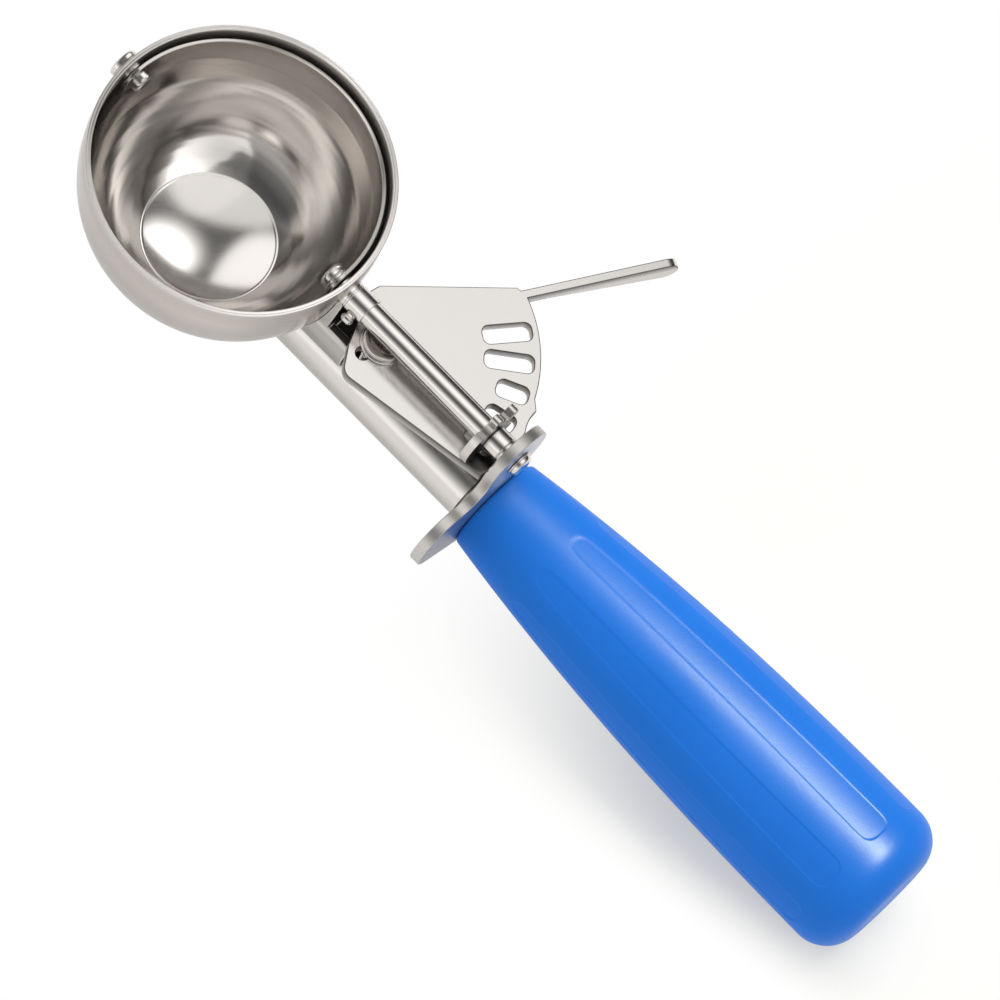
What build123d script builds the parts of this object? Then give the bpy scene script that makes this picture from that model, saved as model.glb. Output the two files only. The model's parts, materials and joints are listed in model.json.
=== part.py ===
from build123d import *
from math import acos, asin, atan2, cos, degrees, radians, sin, sqrt
import os

# Thumb-lever ice cream scoop (disher). Millimetres, +Z up, +X from the bowl to the butt of the handle.
# The origin is the middle of the bowl's flat foot, on the bowl's own axis.

# Bowl
bowl_radius = 29.0            # outside, at the rim
bowl_wall = 1.1
rim_height = 4.2              # rim above the scraper's axis
bowl_drop = 1.2               # middle of the bowl's ball below the scraper's axis
floor_radius = 13.0           # the flatter floor starts at this radius
foot_radius = 5.0
floor_sagitta = 0.22          # swell between the foot and the ball's side
rim_rounding = 0.3

# Scraper blade
blade_gap = 0.7               # blade to bowl wall
floor_gap = 0.8               # blade to bowl floor
blade_thickness = 0.8
blade_width = 6.7
blade_droop = 3.0             # degrees below level at rest

# Scraper shaft and its bearings
shaft_radius = 2.4
journal_radius = 1.9          # rear end, in the pinion, the spacer and the guard
tenon_radius = 1.6            # front end, in the blade and the hub
running_fit = 0.06            # radial, in every bearing
end_float = 0.12              # axial, beside every bearing
bush_radius = 2.75
bush_length = 5.4
screw_radius = 1.25
screw_reach = 4.6             # from the shaft's axis
screw_place = 3.3             # behind the bowl
screw_rounding = 0.6
screw_angle = 200.0           # degrees about the shaft, from +Y
shoulder_float = 0.03         # shaft's shoulder to the blade
hub_radius = 2.7
hub_length = 2.6
hub_rounding = 1.3
spacer_radius = 2.65
end_washer_radius = 2.7
end_washer_thickness = 0.3
end_rivet_radius = 2.4
end_rivet_height = 1.1
end_rivet_rounding = 0.9

# Front pivot
pin_radius = 1.5
pin_head_radius = 2.95
pin_head_height = 1.7
pin_head_rounding = 0.7
pin_spacer_radius = 2.3
pin_button_radius = 2.1
pin_button_length = 1.9
pin_button_grip = 0.95         # pin's end inside the button
pin_button_rounding = 0.8

# Pinion and slotted plate: six teeth to a full turn, one slot to each tooth
pivot_reach = 10.5            # lever's pivot behind the bowl
mesh_radius = 25.8            # lever pivot to the pinion's mid-plane
slot_pitch = 13.7             # degrees
tooth_pitch = 60.0            # degrees
tooth_count = 4
tooth_width = 2.2
tooth_tip = 0.95              # tip outside the pitch circle
pinion_root = 4.6
pinion_thickness = 1.7
sector_start_angle = 127.0    # degrees from +Y: plain part of the pinion's rim
sector_end_angle = 222.0

# Thumb lever
plate_thickness = 2.2
slot_count = 5
slot_width = 3.6
slot_corner = 1.3
slot_reach_outward = 2.3      # beyond the line where the teeth mesh
slot_reach_long = 7.0         # short of that line
slot_reach_short = 3.8
arc_reach = 3.6
arc_start = 28.0              # degrees from +X
arc_end = 68.0
nose_reach = 4.6
nose_start = -9.2
nose_end = 14.5
dent_depth = 0.5              # hollow between the nose and the arc
dent_middle = 19.0
dent_end = 23.8
heel_back = 8.5               # corners of the plate, behind or ahead of the pivot and beside it
heel_side = 7.6
low_heel_back = 8.9
low_heel_side = 5.4
heel_rounding = 1.2
waist_back = 4.1
waist_side = 5.2
waist_rounding = 4.0
toe_back = 0.8
toe_side = 10.1
toe_rounding = 2.6
shoulder_ahead = 8.4
shoulder_side = 27.2
tab_length = 31.0
tab_thickness = 1.7
tab_height = 5.0
tab_root_height = 2.4
tab_angle = 62.8              # degrees from +X
tab_root_angle = 69.5         # tab's root about the pivot
tab_root_reach = 29.1
tab_lap = 2.0                 # tab inside the plate
spring_hole_radius = 1.3
spring_hole_reach = 4.6
spring_hole_angle = -104.0

# Lever pivot
rivet_radius = 1.6
rivet_head_radius = 4.2
rivet_head_height = 0.95
rivet_head_rounding = 0.4
washer_radius = 4.5
washer_thickness = 0.35
boss_radius = 2.35

# Return spring
wire_radius = 0.3
coil_radius = 2.9
coil_turns = 2.5
coil_pitch = 1.0
coil_seat = 0.25              # free height under the coil
foot_length = 6.5

# Neck
neck_drop = 19.2              # axis of neck and handle below the scraper's axis
tube_radius = 7.0
tube_wall = 1.2
collar_radius = 6.3
collar_length = 1.7
tang_radius = 3.0
tang_tube_reach = 10.0
tang_handle_reach = 70.0

# Front saddle
saddle_half_width = 4.5
saddle_radius = 6.0           # outside of the rounded sides
saddle_axis_height = 7.6      # middle of the rounded sides, above the neck's axis
saddle_wall = 1.0
saddle_base = 1.3
saddle_side_length = 7.0
web_thickness = 1.2
web_shoulder = 1.5            # web's full width ends this far above the saddle's sides
side_clearance = 0.5          # lever plate to the saddle's sides

# Guard plate
guard_clearance = 0.6         # lever nose to the guard
guard_thickness = 2.2
guard_lobe_radius = 7.3
guard_seat_radius = 9.2
guard_finger_radius = 6.8
guard_finger_out = 15.2       # finger rest beside the shaft's axis
guard_finger_down = 12.4      # finger rest below the shaft's axis
guard_neck_width = 7.0        # between the lobe and the seat, before the hollows are blended
guard_blend = 5.0             # hollows on both sides of the lobe's neck
guard_rounding = 0.25

# Handle
handle_length = 102.3
handle_front_radius = 9.7
handle_front_slope = 0.15
handle_flare_place = 17.4      # from the front of the handle
handle_flare_radius = 11.93
handle_waist_place = 38.9
handle_waist_radius = 13.9
handle_radius = 15.65
handle_front_rounding = 0.9
butt_rounding = 7.3
flute_count = 8
flute_depth = 0.7
flute_front = 18.0            # middle of the flute's narrow end, from the front of the handle
flute_rear = 90.0
flute_front_radius = 1.9
flute_rear_radius = 2.7
flute_turn = 84.0             # degrees about the handle, from +Y, to the first flute

# Places worked out from the sizes above
bowl_inner = bowl_radius - bowl_wall
blade_radius = bowl_inner - blade_gap
shaft_z = bowl_wall + floor_gap + blade_radius
ball_z = shaft_z - bowl_drop
rim_z = shaft_z + rim_height
neck_z = shaft_z - neck_drop
pivot_x = bowl_radius + pivot_reach
pitch_radius = mesh_radius * slot_pitch / tooth_pitch
slot_outer = mesh_radius + slot_reach_outward
slot_inner_long = mesh_radius - slot_reach_long
slot_inner_short = mesh_radius - slot_reach_short
arc_radius = mesh_radius + arc_reach
nose_radius = mesh_radius + nose_reach
plate_top = shaft_z - pitch_radius + plate_thickness / 2
plate_bottom = plate_top - plate_thickness
pinion_x = pivot_x + mesh_radius
pinion_front = pinion_x - pinion_thickness / 2
pinion_rear = pinion_x + pinion_thickness / 2
guard_front = pivot_x + nose_radius + guard_clearance
guard_rear = guard_front + guard_thickness
tube_end = guard_front - collar_length
saddle_floor = neck_z + tube_radius + saddle_base


def rod_x(radius, start, end, z=shaft_z):
    """Round bar along X."""
    bar = Cylinder(radius, end - start, rotation=(0, 90, 0), align=(Align.CENTER, Align.CENTER, Align.MIN))
    return Pos(start, 0, z) * bar


def rod_z(radius, bottom, top, x=pivot_x, y=0):
    """Round bar along Z."""
    bar = Cylinder(radius, top - bottom, align=(Align.CENTER, Align.CENTER, Align.MIN))
    return Pos(x, y, bottom) * bar


def round_head(radius, height, rounding):
    """Button on the XY plane with a rounded top edge."""
    button = Cylinder(radius, height, align=(Align.CENTER, Align.CENTER, Align.MIN))
    return fillet(button.faces().sort_by(Axis.Z)[-1].edges(), rounding)


def polar(radius, angle):
    """Point about the lever's pivot, from above."""
    return (radius * cos(radians(angle)), radius * sin(radians(angle)))


def belt(start, start_radius, end, end_radius):
    """Outline of a belt round two circles."""
    along = Vector(*end, 0) - Vector(*start, 0)
    lean = degrees(acos((start_radius - end_radius) / along.length))
    heading = degrees(atan2(along.Y, along.X))
    corners = []
    for middle, radius, side in (
        (start, start_radius, 1),
        (start, start_radius, -1),
        (end, end_radius, -1),
        (end, end_radius, 1),
    ):
        turn = radians(heading + side * lean)
        corners.append((middle[0] + radius * cos(turn), middle[1] + radius * sin(turn)))
    band = make_face(Polyline(*corners, close=True))
    return band + Pos(*start) * Circle(start_radius) + Pos(*end) * Circle(end_radius)


def on_ball(radius, reach):
    """Point of the lower half of a ball of this radius about the bowl's centre, this far from its axis."""
    return (reach, ball_z - sqrt(radius**2 - reach**2))


def ball_arc(radius, start):
    """Side of the ball, from a point on it up to its widest place."""
    below = degrees(atan2(ball_z - start[1], start[0]))
    return CenterArc((0, ball_z), radius, -below, below)


def outer_bowl():
    """Solid with the bowl's outer shape."""
    floor_edge = on_ball(bowl_radius, floor_radius * bowl_radius / bowl_inner)
    outline = [
        Line((0, 0), (foot_radius, 0)),
        SagittaArc(floor_edge, (foot_radius, 0), floor_sagitta),
        ball_arc(bowl_radius, floor_edge),
        Line((bowl_radius, ball_z), (bowl_radius, rim_z)),
        Line((bowl_radius, rim_z), (0, rim_z)),
        Line((0, rim_z), (0, 0)),
    ]
    return revolve(Plane.XZ * make_face(outline), Axis.Z)


def bowl_hollow():
    """Solid with the bowl's inner shape, open past the rim."""
    floor_edge = on_ball(bowl_inner, floor_radius)
    apex = (0, bowl_wall)
    rise = floor_edge[1] - bowl_wall
    floor_ball = (floor_radius**2 + rise**2) / (2 * rise)
    top = rim_z + bowl_wall
    outline = [
        CenterArc((0, bowl_wall + floor_ball), floor_ball, -90, degrees(asin(floor_radius / floor_ball))),
        ball_arc(bowl_inner, floor_edge),
        Line((bowl_inner, ball_z), (bowl_inner, top)),
        Line((bowl_inner, top), (0, top)),
        Line((0, top), apex),
    ]
    return revolve(Plane.XZ * make_face(outline), Axis.Z)


def bowl():
    shell = outer_bowl() - bowl_hollow()
    shell = fillet(shell.faces().sort_by(Axis.Z)[-1].edges(), rim_rounding)
    shell -= rod_x(shaft_radius + running_fit, 0, bowl_radius + bowl_wall)
    shell -= rod_x(pin_radius, -bowl_radius - bowl_wall, 0)
    return shell


def scraper_blade():
    shell = Sphere(blade_radius) - Sphere(blade_radius - blade_thickness)
    width = (Align.CENTER, Align.MIN, Align.CENTER)
    band = Box(2 * bowl_radius, bowl_radius, blade_width, align=width)
    band += rod_x(blade_width / 2, -bowl_radius, bowl_radius, 0)
    blade = shell & band
    blade -= rod_x(tenon_radius, 0, bowl_radius, 0)
    blade -= rod_x(pin_radius + running_fit, -bowl_radius, 0, 0)
    return Pos(0, 0, shaft_z) * Rot(-blade_droop, 0, 0) * blade


def scraper_shaft():
    shoulder = blade_radius + shoulder_float
    shaft = rod_x(shaft_radius, shoulder, pinion_front)
    shaft += rod_x(tenon_radius, shoulder - hub_length, shoulder)
    shaft += rod_x(journal_radius, pinion_front, guard_rear + end_float + end_washer_thickness)
    return shaft


def blade_hub():
    inner_face = sqrt((blade_radius - blade_thickness)**2 - hub_radius**2)
    hub = Pos(inner_face, 0, shaft_z) * Rot(0, -90, 0) * round_head(hub_radius, hub_length, hub_rounding)
    return hub - rod_x(tenon_radius, blade_radius + shoulder_float - hub_length, blade_radius)


def shaft_bush():
    bush = rod_x(bush_radius, bowl_inner, bowl_radius + bush_length)
    bush -= outer_bowl()
    bush -= rod_x(shaft_radius + running_fit, 0, guard_front)
    return bush - screw_body(0)


def bush_screw():
    return screw_body(screw_rounding)


def screw_body(rounding):
    """Small screw that stands out of the bush; its inner end stops at the bush's bore."""
    length = screw_reach - shaft_radius - 2 * running_fit
    middle = bowl_radius + screw_place
    body = Cylinder(screw_radius, length, align=(Align.CENTER, Align.CENTER, Align.MIN))
    if rounding:
        body = round_head(screw_radius, length, rounding)
    turned = Rot(screw_angle - 90, 0, 0) * Pos(0, 0, screw_reach - length) * body
    return Pos(middle, 0, shaft_z) * turned - rod_x(shaft_radius + running_fit, 0, guard_front)


def front_pivot_rivet():
    seat = sqrt(bowl_radius**2 - pin_head_radius**2)
    height = pin_head_height + bowl_radius - seat
    head = Rot(0, -90, 0) * round_head(pin_head_radius, height, pin_head_rounding)
    rivet = Pos(-seat, 0, shaft_z) * head - outer_bowl()
    return rivet + rod_x(pin_radius, -bowl_radius, -front_button_face() + pin_button_grip)


def front_button_face():
    """Distance of the front button's face from the bowl's axis, clear of the blade's hollow side."""
    return sqrt((blade_radius - blade_thickness)**2 - pin_button_radius**2) - end_float


def front_pivot_spacer():
    spacer = rod_x(pin_spacer_radius, -bowl_radius, -blade_radius - end_float) & bowl_hollow()
    return spacer - rod_x(pin_radius, -bowl_radius, 0)


def front_pivot_button():
    button = Rot(0, 90, 0) * round_head(pin_button_radius, pin_button_length, pin_button_rounding)
    button = Pos(-front_button_face(), 0, shaft_z) * button
    return button - rod_x(pin_radius, -bowl_radius, -front_button_face() + pin_button_grip)


def pinion():
    tip = pitch_radius + tooth_tip
    outline = Circle(pinion_root)
    for tooth in range(tooth_count):
        outline += Rot(0, 0, tooth * tooth_pitch - 90) * Pos(tip / 2, 0) * SlotOverall(tip, tooth_width)
    rim = CenterArc((0, 0), tip, sector_start_angle, sector_end_angle - sector_start_angle)
    outline += make_face([Line((0, 0), rim @ 0), rim, Line(rim @ 1, (0, 0))])
    outline -= Circle(journal_radius)
    wheel = extrude(Plane.YZ * outline, pinion_thickness / 2, both=True)
    return Pos(pinion_x, 0, shaft_z) * wheel


def shaft_spacer():
    spacer = rod_x(spacer_radius, pinion_rear, guard_front - end_float)
    return spacer - rod_x(journal_radius, pinion_front, guard_rear)


def shaft_end_washer():
    washer = rod_x(end_washer_radius, guard_rear + end_float, guard_rear + end_float + end_washer_thickness)
    return washer - rod_x(journal_radius, pinion_front, guard_rear + end_float + end_washer_thickness)


def shaft_end_rivet():
    dome = Rot(0, 90, 0) * round_head(end_rivet_radius, end_rivet_height, end_rivet_rounding)
    return Pos(guard_rear + end_float + end_washer_thickness, 0, shaft_z) * dome


def lever_outline():
    """Outline of the slotted plate about its pivot."""
    arc = CenterArc((0, 0), arc_radius, arc_start, arc_end - arc_start)
    nose = CenterArc((0, 0), nose_radius, nose_start, nose_end - nose_start)
    dent_bottom = polar(nose_radius - dent_depth, dent_middle)
    dent = ThreePointArc(polar(nose_radius, dent_end), dent_bottom, nose @ 1)
    toe = (-toe_back, -toe_side)
    waist = (-waist_back, -waist_side)
    low_heel = (-low_heel_back, low_heel_side)
    heel = (-heel_back, heel_side)
    back = Polyline(nose @ 0, toe, waist, low_heel, heel, (shoulder_ahead, shoulder_side), arc @ 1)
    plate = make_face([back, arc, Line(arc @ 0, dent @ 0), dent, nose])
    corners = {toe: toe_rounding, waist: waist_rounding, low_heel: heel_rounding, heel: heel_rounding}
    for corner, rounding in corners.items():
        plate = fillet(plate.vertices().sort_by_distance(corner)[0], rounding)
    return plate


def thumb_tab():
    """Thumb piece: an upright strip in line with the plate's upper edge, deeper towards its rounded tip."""
    tip = tab_height / 2
    top = Polyline((-tab_lap, -plate_thickness), (-tab_lap, 0), (tab_length - tip, 0))
    end = ThreePointArc((tab_length - tip, 0), (tab_length, -tip), (tab_length - tip, -tab_height))
    under = Polyline(end @ 1, (tab_lap, -tab_root_height), (-tab_lap, -plate_thickness))
    direction = Vector(cos(radians(tab_angle)), sin(radians(tab_angle)), 0)
    across = Vector(direction.Y, -direction.X, 0)
    side = Plane(Vector(*polar(tab_root_reach, tab_root_angle)), x_dir=direction, z_dir=across)
    return extrude(side * make_face([top, end, under]), tab_thickness / 2, both=True)


def thumb_lever():
    plate = lever_outline() - Circle(rivet_radius + running_fit)
    for slot in range(slot_count):
        inner = slot_inner_long if slot > 2 else slot_inner_short
        length = slot_outer - inner
        opening = RectangleRounded(length, slot_width, slot_corner)
        plate -= Rot(0, 0, slot * slot_pitch) * Pos(inner + length / 2, 0) * opening
    plate -= Pos(*polar(spring_hole_reach, spring_hole_angle)) * Circle(spring_hole_radius)
    body = extrude(plate, -plate_thickness)
    return Pos(pivot_x, 0, plate_top) * (body + thumb_tab())


def lever_pivot_rivet():
    base = plate_top + end_float + washer_thickness
    head = Pos(pivot_x, 0, base) * round_head(rivet_head_radius, rivet_head_height, rivet_head_rounding)
    return head + rod_z(rivet_radius, neck_z + tube_radius - tube_wall, base)


def lever_washer():
    base = plate_top + end_float
    return rod_z(washer_radius, base, base + washer_thickness) - rod_z(rivet_radius, 0, rim_z)


def lever_boss():
    return rod_z(boss_radius, saddle_floor, plate_bottom - end_float) - rod_z(rivet_radius, 0, rim_z)


def return_spring():
    """Coil about the boss: one end lies in the saddle, the other goes up through the lever's hole."""
    bottom = saddle_floor + wire_radius + coil_seat
    height = coil_turns * coil_pitch
    helix = Rot(0, 0, 90) * Helix(coil_pitch, height, coil_radius)
    coil = sweep(Plane(helix @ 0, z_dir=helix % 0) * Circle(wire_radius), path=helix)
    end = helix @ 1
    hook = Vector(*polar(spring_hole_reach, spring_hole_angle), height)
    length = (hook - end).length
    arm = Plane(end, z_dir=hook - end) * rod_z(wire_radius, 0, length, 0)
    upright = rod_z(wire_radius, height, plate_top - bottom, hook.X, hook.Y)
    foot = Pos(0, coil_radius, 0) * Cylinder(
        wire_radius, foot_length, rotation=(0, -90, 0), align=(Align.CENTER, Align.CENTER, Align.MIN)
    )
    corners = [Pos(end) * Sphere(wire_radius), Pos(hook) * Sphere(wire_radius)]
    return Pos(pivot_x, 0, bottom) * (coil + arm + upright + foot + corners)


def front_saddle():
    """Trough on the neck with a web up to the bush, coped to the bowl, the tube and the bush."""
    end = pivot_x + saddle_half_width
    lying = (Align.MIN, Align.CENTER, Align.MIN)
    base = Box(end, 2 * saddle_half_width, saddle_floor - neck_z, align=lying)
    saddle = Pos(0, 0, neck_z) * base
    side_top = plate_bottom - side_clearance
    side_end = bowl_radius + saddle_side_length
    sides = rod_x(saddle_radius, 0, side_end, neck_z + saddle_axis_height)
    hollow = rod_x(saddle_radius - saddle_wall, 0, side_end, neck_z + saddle_axis_height)
    sides -= hollow & Pos(0, 0, saddle_floor) * Box(side_end, 2 * saddle_radius, saddle_radius, align=lying)
    saddle += sides & Pos(0, 0, neck_z) * Box(side_end, 2 * saddle_radius, side_top - neck_z, align=lying)
    shoulder = side_top + web_shoulder
    web = Polyline(
        (-saddle_half_width, neck_z),
        (-saddle_half_width, shoulder),
        (-bush_radius, shaft_z),
        (bush_radius, shaft_z),
        (saddle_half_width, shoulder),
        (saddle_half_width, neck_z),
        (-saddle_half_width, neck_z),
    )
    saddle += extrude(Plane.YZ * make_face(web), bowl_radius + web_thickness)
    saddle -= outer_bowl()
    saddle -= rod_x(tube_radius, 0, end, neck_z)
    saddle -= rod_x(bush_radius, 0, end)
    return saddle - rod_z(rivet_radius, neck_z, rim_z)


def neck_tube():
    tube = rod_x(tube_radius, 0, tube_end, neck_z) - outer_bowl()
    tube -= rod_x(tube_radius - tube_wall, 0, tube_end, neck_z)
    return tube - rod_z(rivet_radius, neck_z, shaft_z)


def tube_collar():
    collar = rod_x(collar_radius, tube_end, guard_front, neck_z)
    return collar - rod_x(tang_radius, tube_end, guard_front, neck_z)


def handle_tang():
    return rod_x(tang_radius, tube_end - tang_tube_reach, guard_rear + tang_handle_reach, neck_z)


def guard_plate():
    """Plate across the neck: a lobe round the shaft, a seat for the handle and a finger rest to one side."""
    seat = (0, -neck_drop)
    finger = (-guard_finger_out, -guard_finger_down)
    outline = Circle(guard_lobe_radius) + belt(finger, guard_finger_radius, seat, guard_seat_radius)
    outline += Pos(0, -neck_drop / 2) * Rectangle(guard_neck_width, neck_drop)
    outline = offset(offset(outline, guard_blend, kind=Kind.ARC), -guard_blend, kind=Kind.ARC)
    outline -= Circle(journal_radius + running_fit)
    outline -= Pos(*seat) * Circle(tang_radius)
    plate = extrude(Plane.YZ * outline, guard_thickness)
    rim = plate.faces().sort_by(Axis.X)
    plate = fillet(ShapeList([rim[0].outer_wire(), rim[-1].outer_wire()]).edges(), guard_rounding)
    return Pos(guard_front, 0, shaft_z) * plate


def handle_profile(inset):
    """Solid of revolution about X from the front of the handle, smaller all round by the inset."""
    front = (0, handle_front_radius - inset)
    swell = Spline(
        front,
        (handle_flare_place, handle_flare_radius - inset),
        (handle_waist_place, handle_waist_radius - inset),
        (handle_length - butt_rounding, handle_radius - inset),
        tangents=[(1, handle_front_slope), (1, 0)],
    )
    butt_centre = (handle_length - butt_rounding, handle_radius - butt_rounding - inset)
    butt = CenterArc(butt_centre, butt_rounding, 0, 90)
    outline = [
        Line((0, 0), front),
        swell,
        butt,
        Line(butt @ 0, (handle_length, 0)),
        Line((handle_length, 0), (0, 0)),
    ]
    return revolve(make_face(outline), Axis.X)


def handle():
    body = handle_profile(0)
    body = fillet(body.faces().sort_by(Axis.X)[0].edges(), handle_front_rounding)
    core = handle_profile(flute_depth)
    outline = belt((flute_front, 0), flute_front_radius, (flute_rear, 0), flute_rear_radius)
    groove = extrude(Pos(0, 0, tang_radius) * outline, handle_radius) - core
    for flute in range(flute_count):
        turn = flute_turn - 90 + flute * 360 / flute_count
        body -= Rot(turn, 0, 0) * groove
    body = Pos(guard_rear, 0, neck_z) * body
    return body - rod_x(tang_radius, guard_rear, guard_rear + tang_handle_reach, neck_z)


nodes = {
    "bowl": bowl,
    "scraper_blade": scraper_blade,
    "scraper_shaft": scraper_shaft,
    "blade_hub": blade_hub,
    "pinion": pinion,
    "shaft_spacer": shaft_spacer,
    "shaft_end_washer": shaft_end_washer,
    "shaft_end_rivet": shaft_end_rivet,
    "shaft_bush": shaft_bush,
    "bush_screw": bush_screw,
    "front_pivot_rivet": front_pivot_rivet,
    "front_pivot_spacer": front_pivot_spacer,
    "front_pivot_button": front_pivot_button,
    "thumb_lever": thumb_lever,
    "lever_pivot_rivet": lever_pivot_rivet,
    "lever_washer": lever_washer,
    "lever_boss": lever_boss,
    "return_spring": return_spring,
    "front_saddle": front_saddle,
    "neck_tube": neck_tube,
    "tube_collar": tube_collar,
    "guard_plate": guard_plate,
    "handle_tang": handle_tang,
    "handle": handle,
}

os.makedirs("parts", exist_ok=True)
for name, make in nodes.items():
    solid = make()
    solid.label = name
    export_step(solid, f"parts/{name}.step")
    print(name, round(solid.volume, 1))
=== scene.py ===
import json
from functools import partial
from math import atan2, cos, degrees, radians, sin, sqrt, tau

import bmesh
import bpy
from mathutils import Matrix, Vector


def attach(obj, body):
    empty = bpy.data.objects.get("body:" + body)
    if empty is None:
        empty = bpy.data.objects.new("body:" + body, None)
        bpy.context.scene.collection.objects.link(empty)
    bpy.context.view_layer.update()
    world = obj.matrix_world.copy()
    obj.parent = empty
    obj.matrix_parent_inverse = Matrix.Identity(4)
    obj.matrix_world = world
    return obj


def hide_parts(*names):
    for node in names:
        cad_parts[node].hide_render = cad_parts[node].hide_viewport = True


# Thumb-lever ice cream scoop: spun bowl, geared scraper, slotted thumb lever and fluted handle.
# Sizes are in millimetres and angles in degrees; lamps, the camera and the floor's size are in metres.

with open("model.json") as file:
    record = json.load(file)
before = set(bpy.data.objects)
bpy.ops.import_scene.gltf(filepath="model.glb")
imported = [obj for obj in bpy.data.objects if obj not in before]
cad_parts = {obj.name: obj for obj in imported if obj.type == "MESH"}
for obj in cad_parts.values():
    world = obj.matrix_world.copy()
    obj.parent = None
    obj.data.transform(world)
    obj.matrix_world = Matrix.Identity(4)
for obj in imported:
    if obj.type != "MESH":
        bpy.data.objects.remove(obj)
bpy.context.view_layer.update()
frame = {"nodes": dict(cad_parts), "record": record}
cadNodes = frame["nodes"]
bodyOf = {node: body for body, members in frame["record"]["behaviour"]["bodies"].items() for node in members}
mm = 0.001
mergeWithin = 1e-6  # metres; points closer than this become one
scene = bpy.context.scene
print("frame in place:", len(cadNodes), "nodes")


# Short ways to lay nodes

def addNode(tree, kind, inputs=None, **settings):
    node = tree.nodes.new(kind)
    for name, value in settings.items():
        setattr(node, name, value)
    for key, value in (inputs or {}).items():
        socket = node.inputs[key]
        if isinstance(value, bpy.types.NodeSocket):
            tree.links.new(value, socket)
        else:
            socket.default_value = value
    return node


def firstOut(tree, kind, inputs=None, **settings):
    return addNode(tree, kind, inputs, **settings).outputs[0]


def calc(tree, operation, *values, clamp=False):
    return firstOut(tree, "ShaderNodeMath", dict(enumerate(values)), operation=operation, use_clamp=clamp)


def vectorCalc(tree, operation, *values):
    node = addNode(tree, "ShaderNodeVectorMath", dict(enumerate(values)), operation=operation)
    return node.outputs["Value" if operation in ("LENGTH", "DISTANCE") else "Vector"]


def scaleBy(tree, vector, factor):
    return firstOut(tree, "ShaderNodeVectorMath", {0: vector, 3: factor}, operation="SCALE")


def splitVector(tree, vector):
    return addNode(tree, "ShaderNodeSeparateXYZ", {0: vector}).outputs


def joinVector(tree, *axes):
    return firstOut(tree, "ShaderNodeCombineXYZ", dict(enumerate(axes)))


def addNoise(tree, place, scale, detail):
    return firstOut(tree, "ShaderNodeTexNoise", {"Vector": place, "Scale": scale, "Detail": detail})


def remap(tree, value, source, target, style="LINEAR"):
    inputs = dict(enumerate((value, *source, *target)))
    return firstOut(tree, "ShaderNodeMapRange", inputs, interpolation_type=style)


def blendColours(tree, factor, first, second):
    inputs = {0: factor, 6: (*first, 1), 7: (*second, 1)}
    return addNode(tree, "ShaderNodeMix", inputs, data_type="RGBA").outputs[2]


def blendValues(tree, factor, first, second):
    return firstOut(tree, "ShaderNodeMix", {0: factor, 2: first, 3: second}, data_type="FLOAT")


# An input is given as its first value, or as the kind of its socket
def newGroup(name, kind, inputs, outputs):
    tree = bpy.data.node_groups.new(name, kind)
    for label, value in inputs.items():
        kindOnly = isinstance(value, str)
        socketType = value if kindOnly else "Int" if isinstance(value, int) else "Float"
        socket = tree.interface.new_socket(label, in_out="INPUT", socket_type="NodeSocket" + socketType)
        if not kindOnly:
            socket.default_value = value
    for label, socketType in outputs.items():
        tree.interface.new_socket(label, in_out="OUTPUT", socket_type="NodeSocket" + socketType)
    return tree, tree.nodes.new("NodeGroupInput").outputs, tree.nodes.new("NodeGroupOutput").inputs


def newMaterial(name):
    material = bpy.data.materials.new(name)
    material.use_nodes = True
    return material, material.node_tree, material.node_tree.nodes["Principled BSDF"]


# Meshes, objects and their seats in the frame

def addObject(name, data):
    piece = bpy.data.objects.new(name, data)
    scene.collection.objects.link(piece)
    return piece


def newMesh(name, points, edges=(), faces=()):
    mesh = bpy.data.meshes.new(name)
    mesh.from_pydata([tuple(p) for p in points], edges, faces)
    return mesh


def addSheet(name, left, right, near, far, height):  # one flat face, in metres
    corners = [(left, near, height), (right, near, height), (right, far, height), (left, far, height)]
    return addObject(name, newMesh(name, corners, [], [(0, 1, 2, 3)]))


def plainMesh(piece):
    bpy.context.view_layer.update()
    graph = bpy.context.evaluated_depsgraph_get()
    grown = piece.evaluated_get(graph)
    return bpy.data.meshes.new_from_object(grown, preserve_all_data_layers=True, depsgraph=graph)


def growWith(piece, tree, finish, sizes):
    modifier = piece.modifiers.new("grow", "NODES")
    modifier.node_group = tree
    values = {**sizes, "Material": finish}
    for item in tree.interface.items_tree:
        if item.item_type == "SOCKET" and item.in_out == "INPUT" and item.name in values:
            modifier[item.identifier] = values[item.name]
    mesh = plainMesh(piece)
    while mesh.materials[0] is None:  # a grown grid starts with an empty slot
        mesh.materials.pop(index=0)
    piece.modifiers.remove(modifier)
    piece.data = mesh
    return piece


def faceOutward(mesh):
    shell = bmesh.new()
    shell.from_mesh(mesh)
    bmesh.ops.recalc_face_normals(shell, faces=shell.faces)
    shell.to_mesh(mesh)
    shell.free()


def seat(piece, node):
    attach(piece, bodyOf[node])
    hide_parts(node)


# Grain: rings left by the lathe, and lines left by the rolling of a sheet

ringLines = {"pitch": 0.4, "drift": 0.05, "driftReach": 4.0, "wanderScale": 55.0, "wanderDetail": 1.0,
             "fineDetail": 3.0, "wideScale": 0.12, "wideDetail": 1.0, "wideShare": 0.6}
sheetLines = {"pitch": 0.3, "length": 14.0, "fineDetail": 2.0, "cloudScale": 90.0, "cloudDetail": 3.0,
              "cloudShare": 0.5}
grainOutputs = {"Tone": "Float", "Height": "Float"}


def endGrain(tree, out, fine, broad, broadShare):
    tone = calc(tree, "MULTIPLY_ADD", broad, broadShare, calc(tree, "MULTIPLY", fine, 1 - broadShare))
    tree.links.new(tone, out["Tone"])
    tree.links.new(fine, out["Height"])
    return tree


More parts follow.
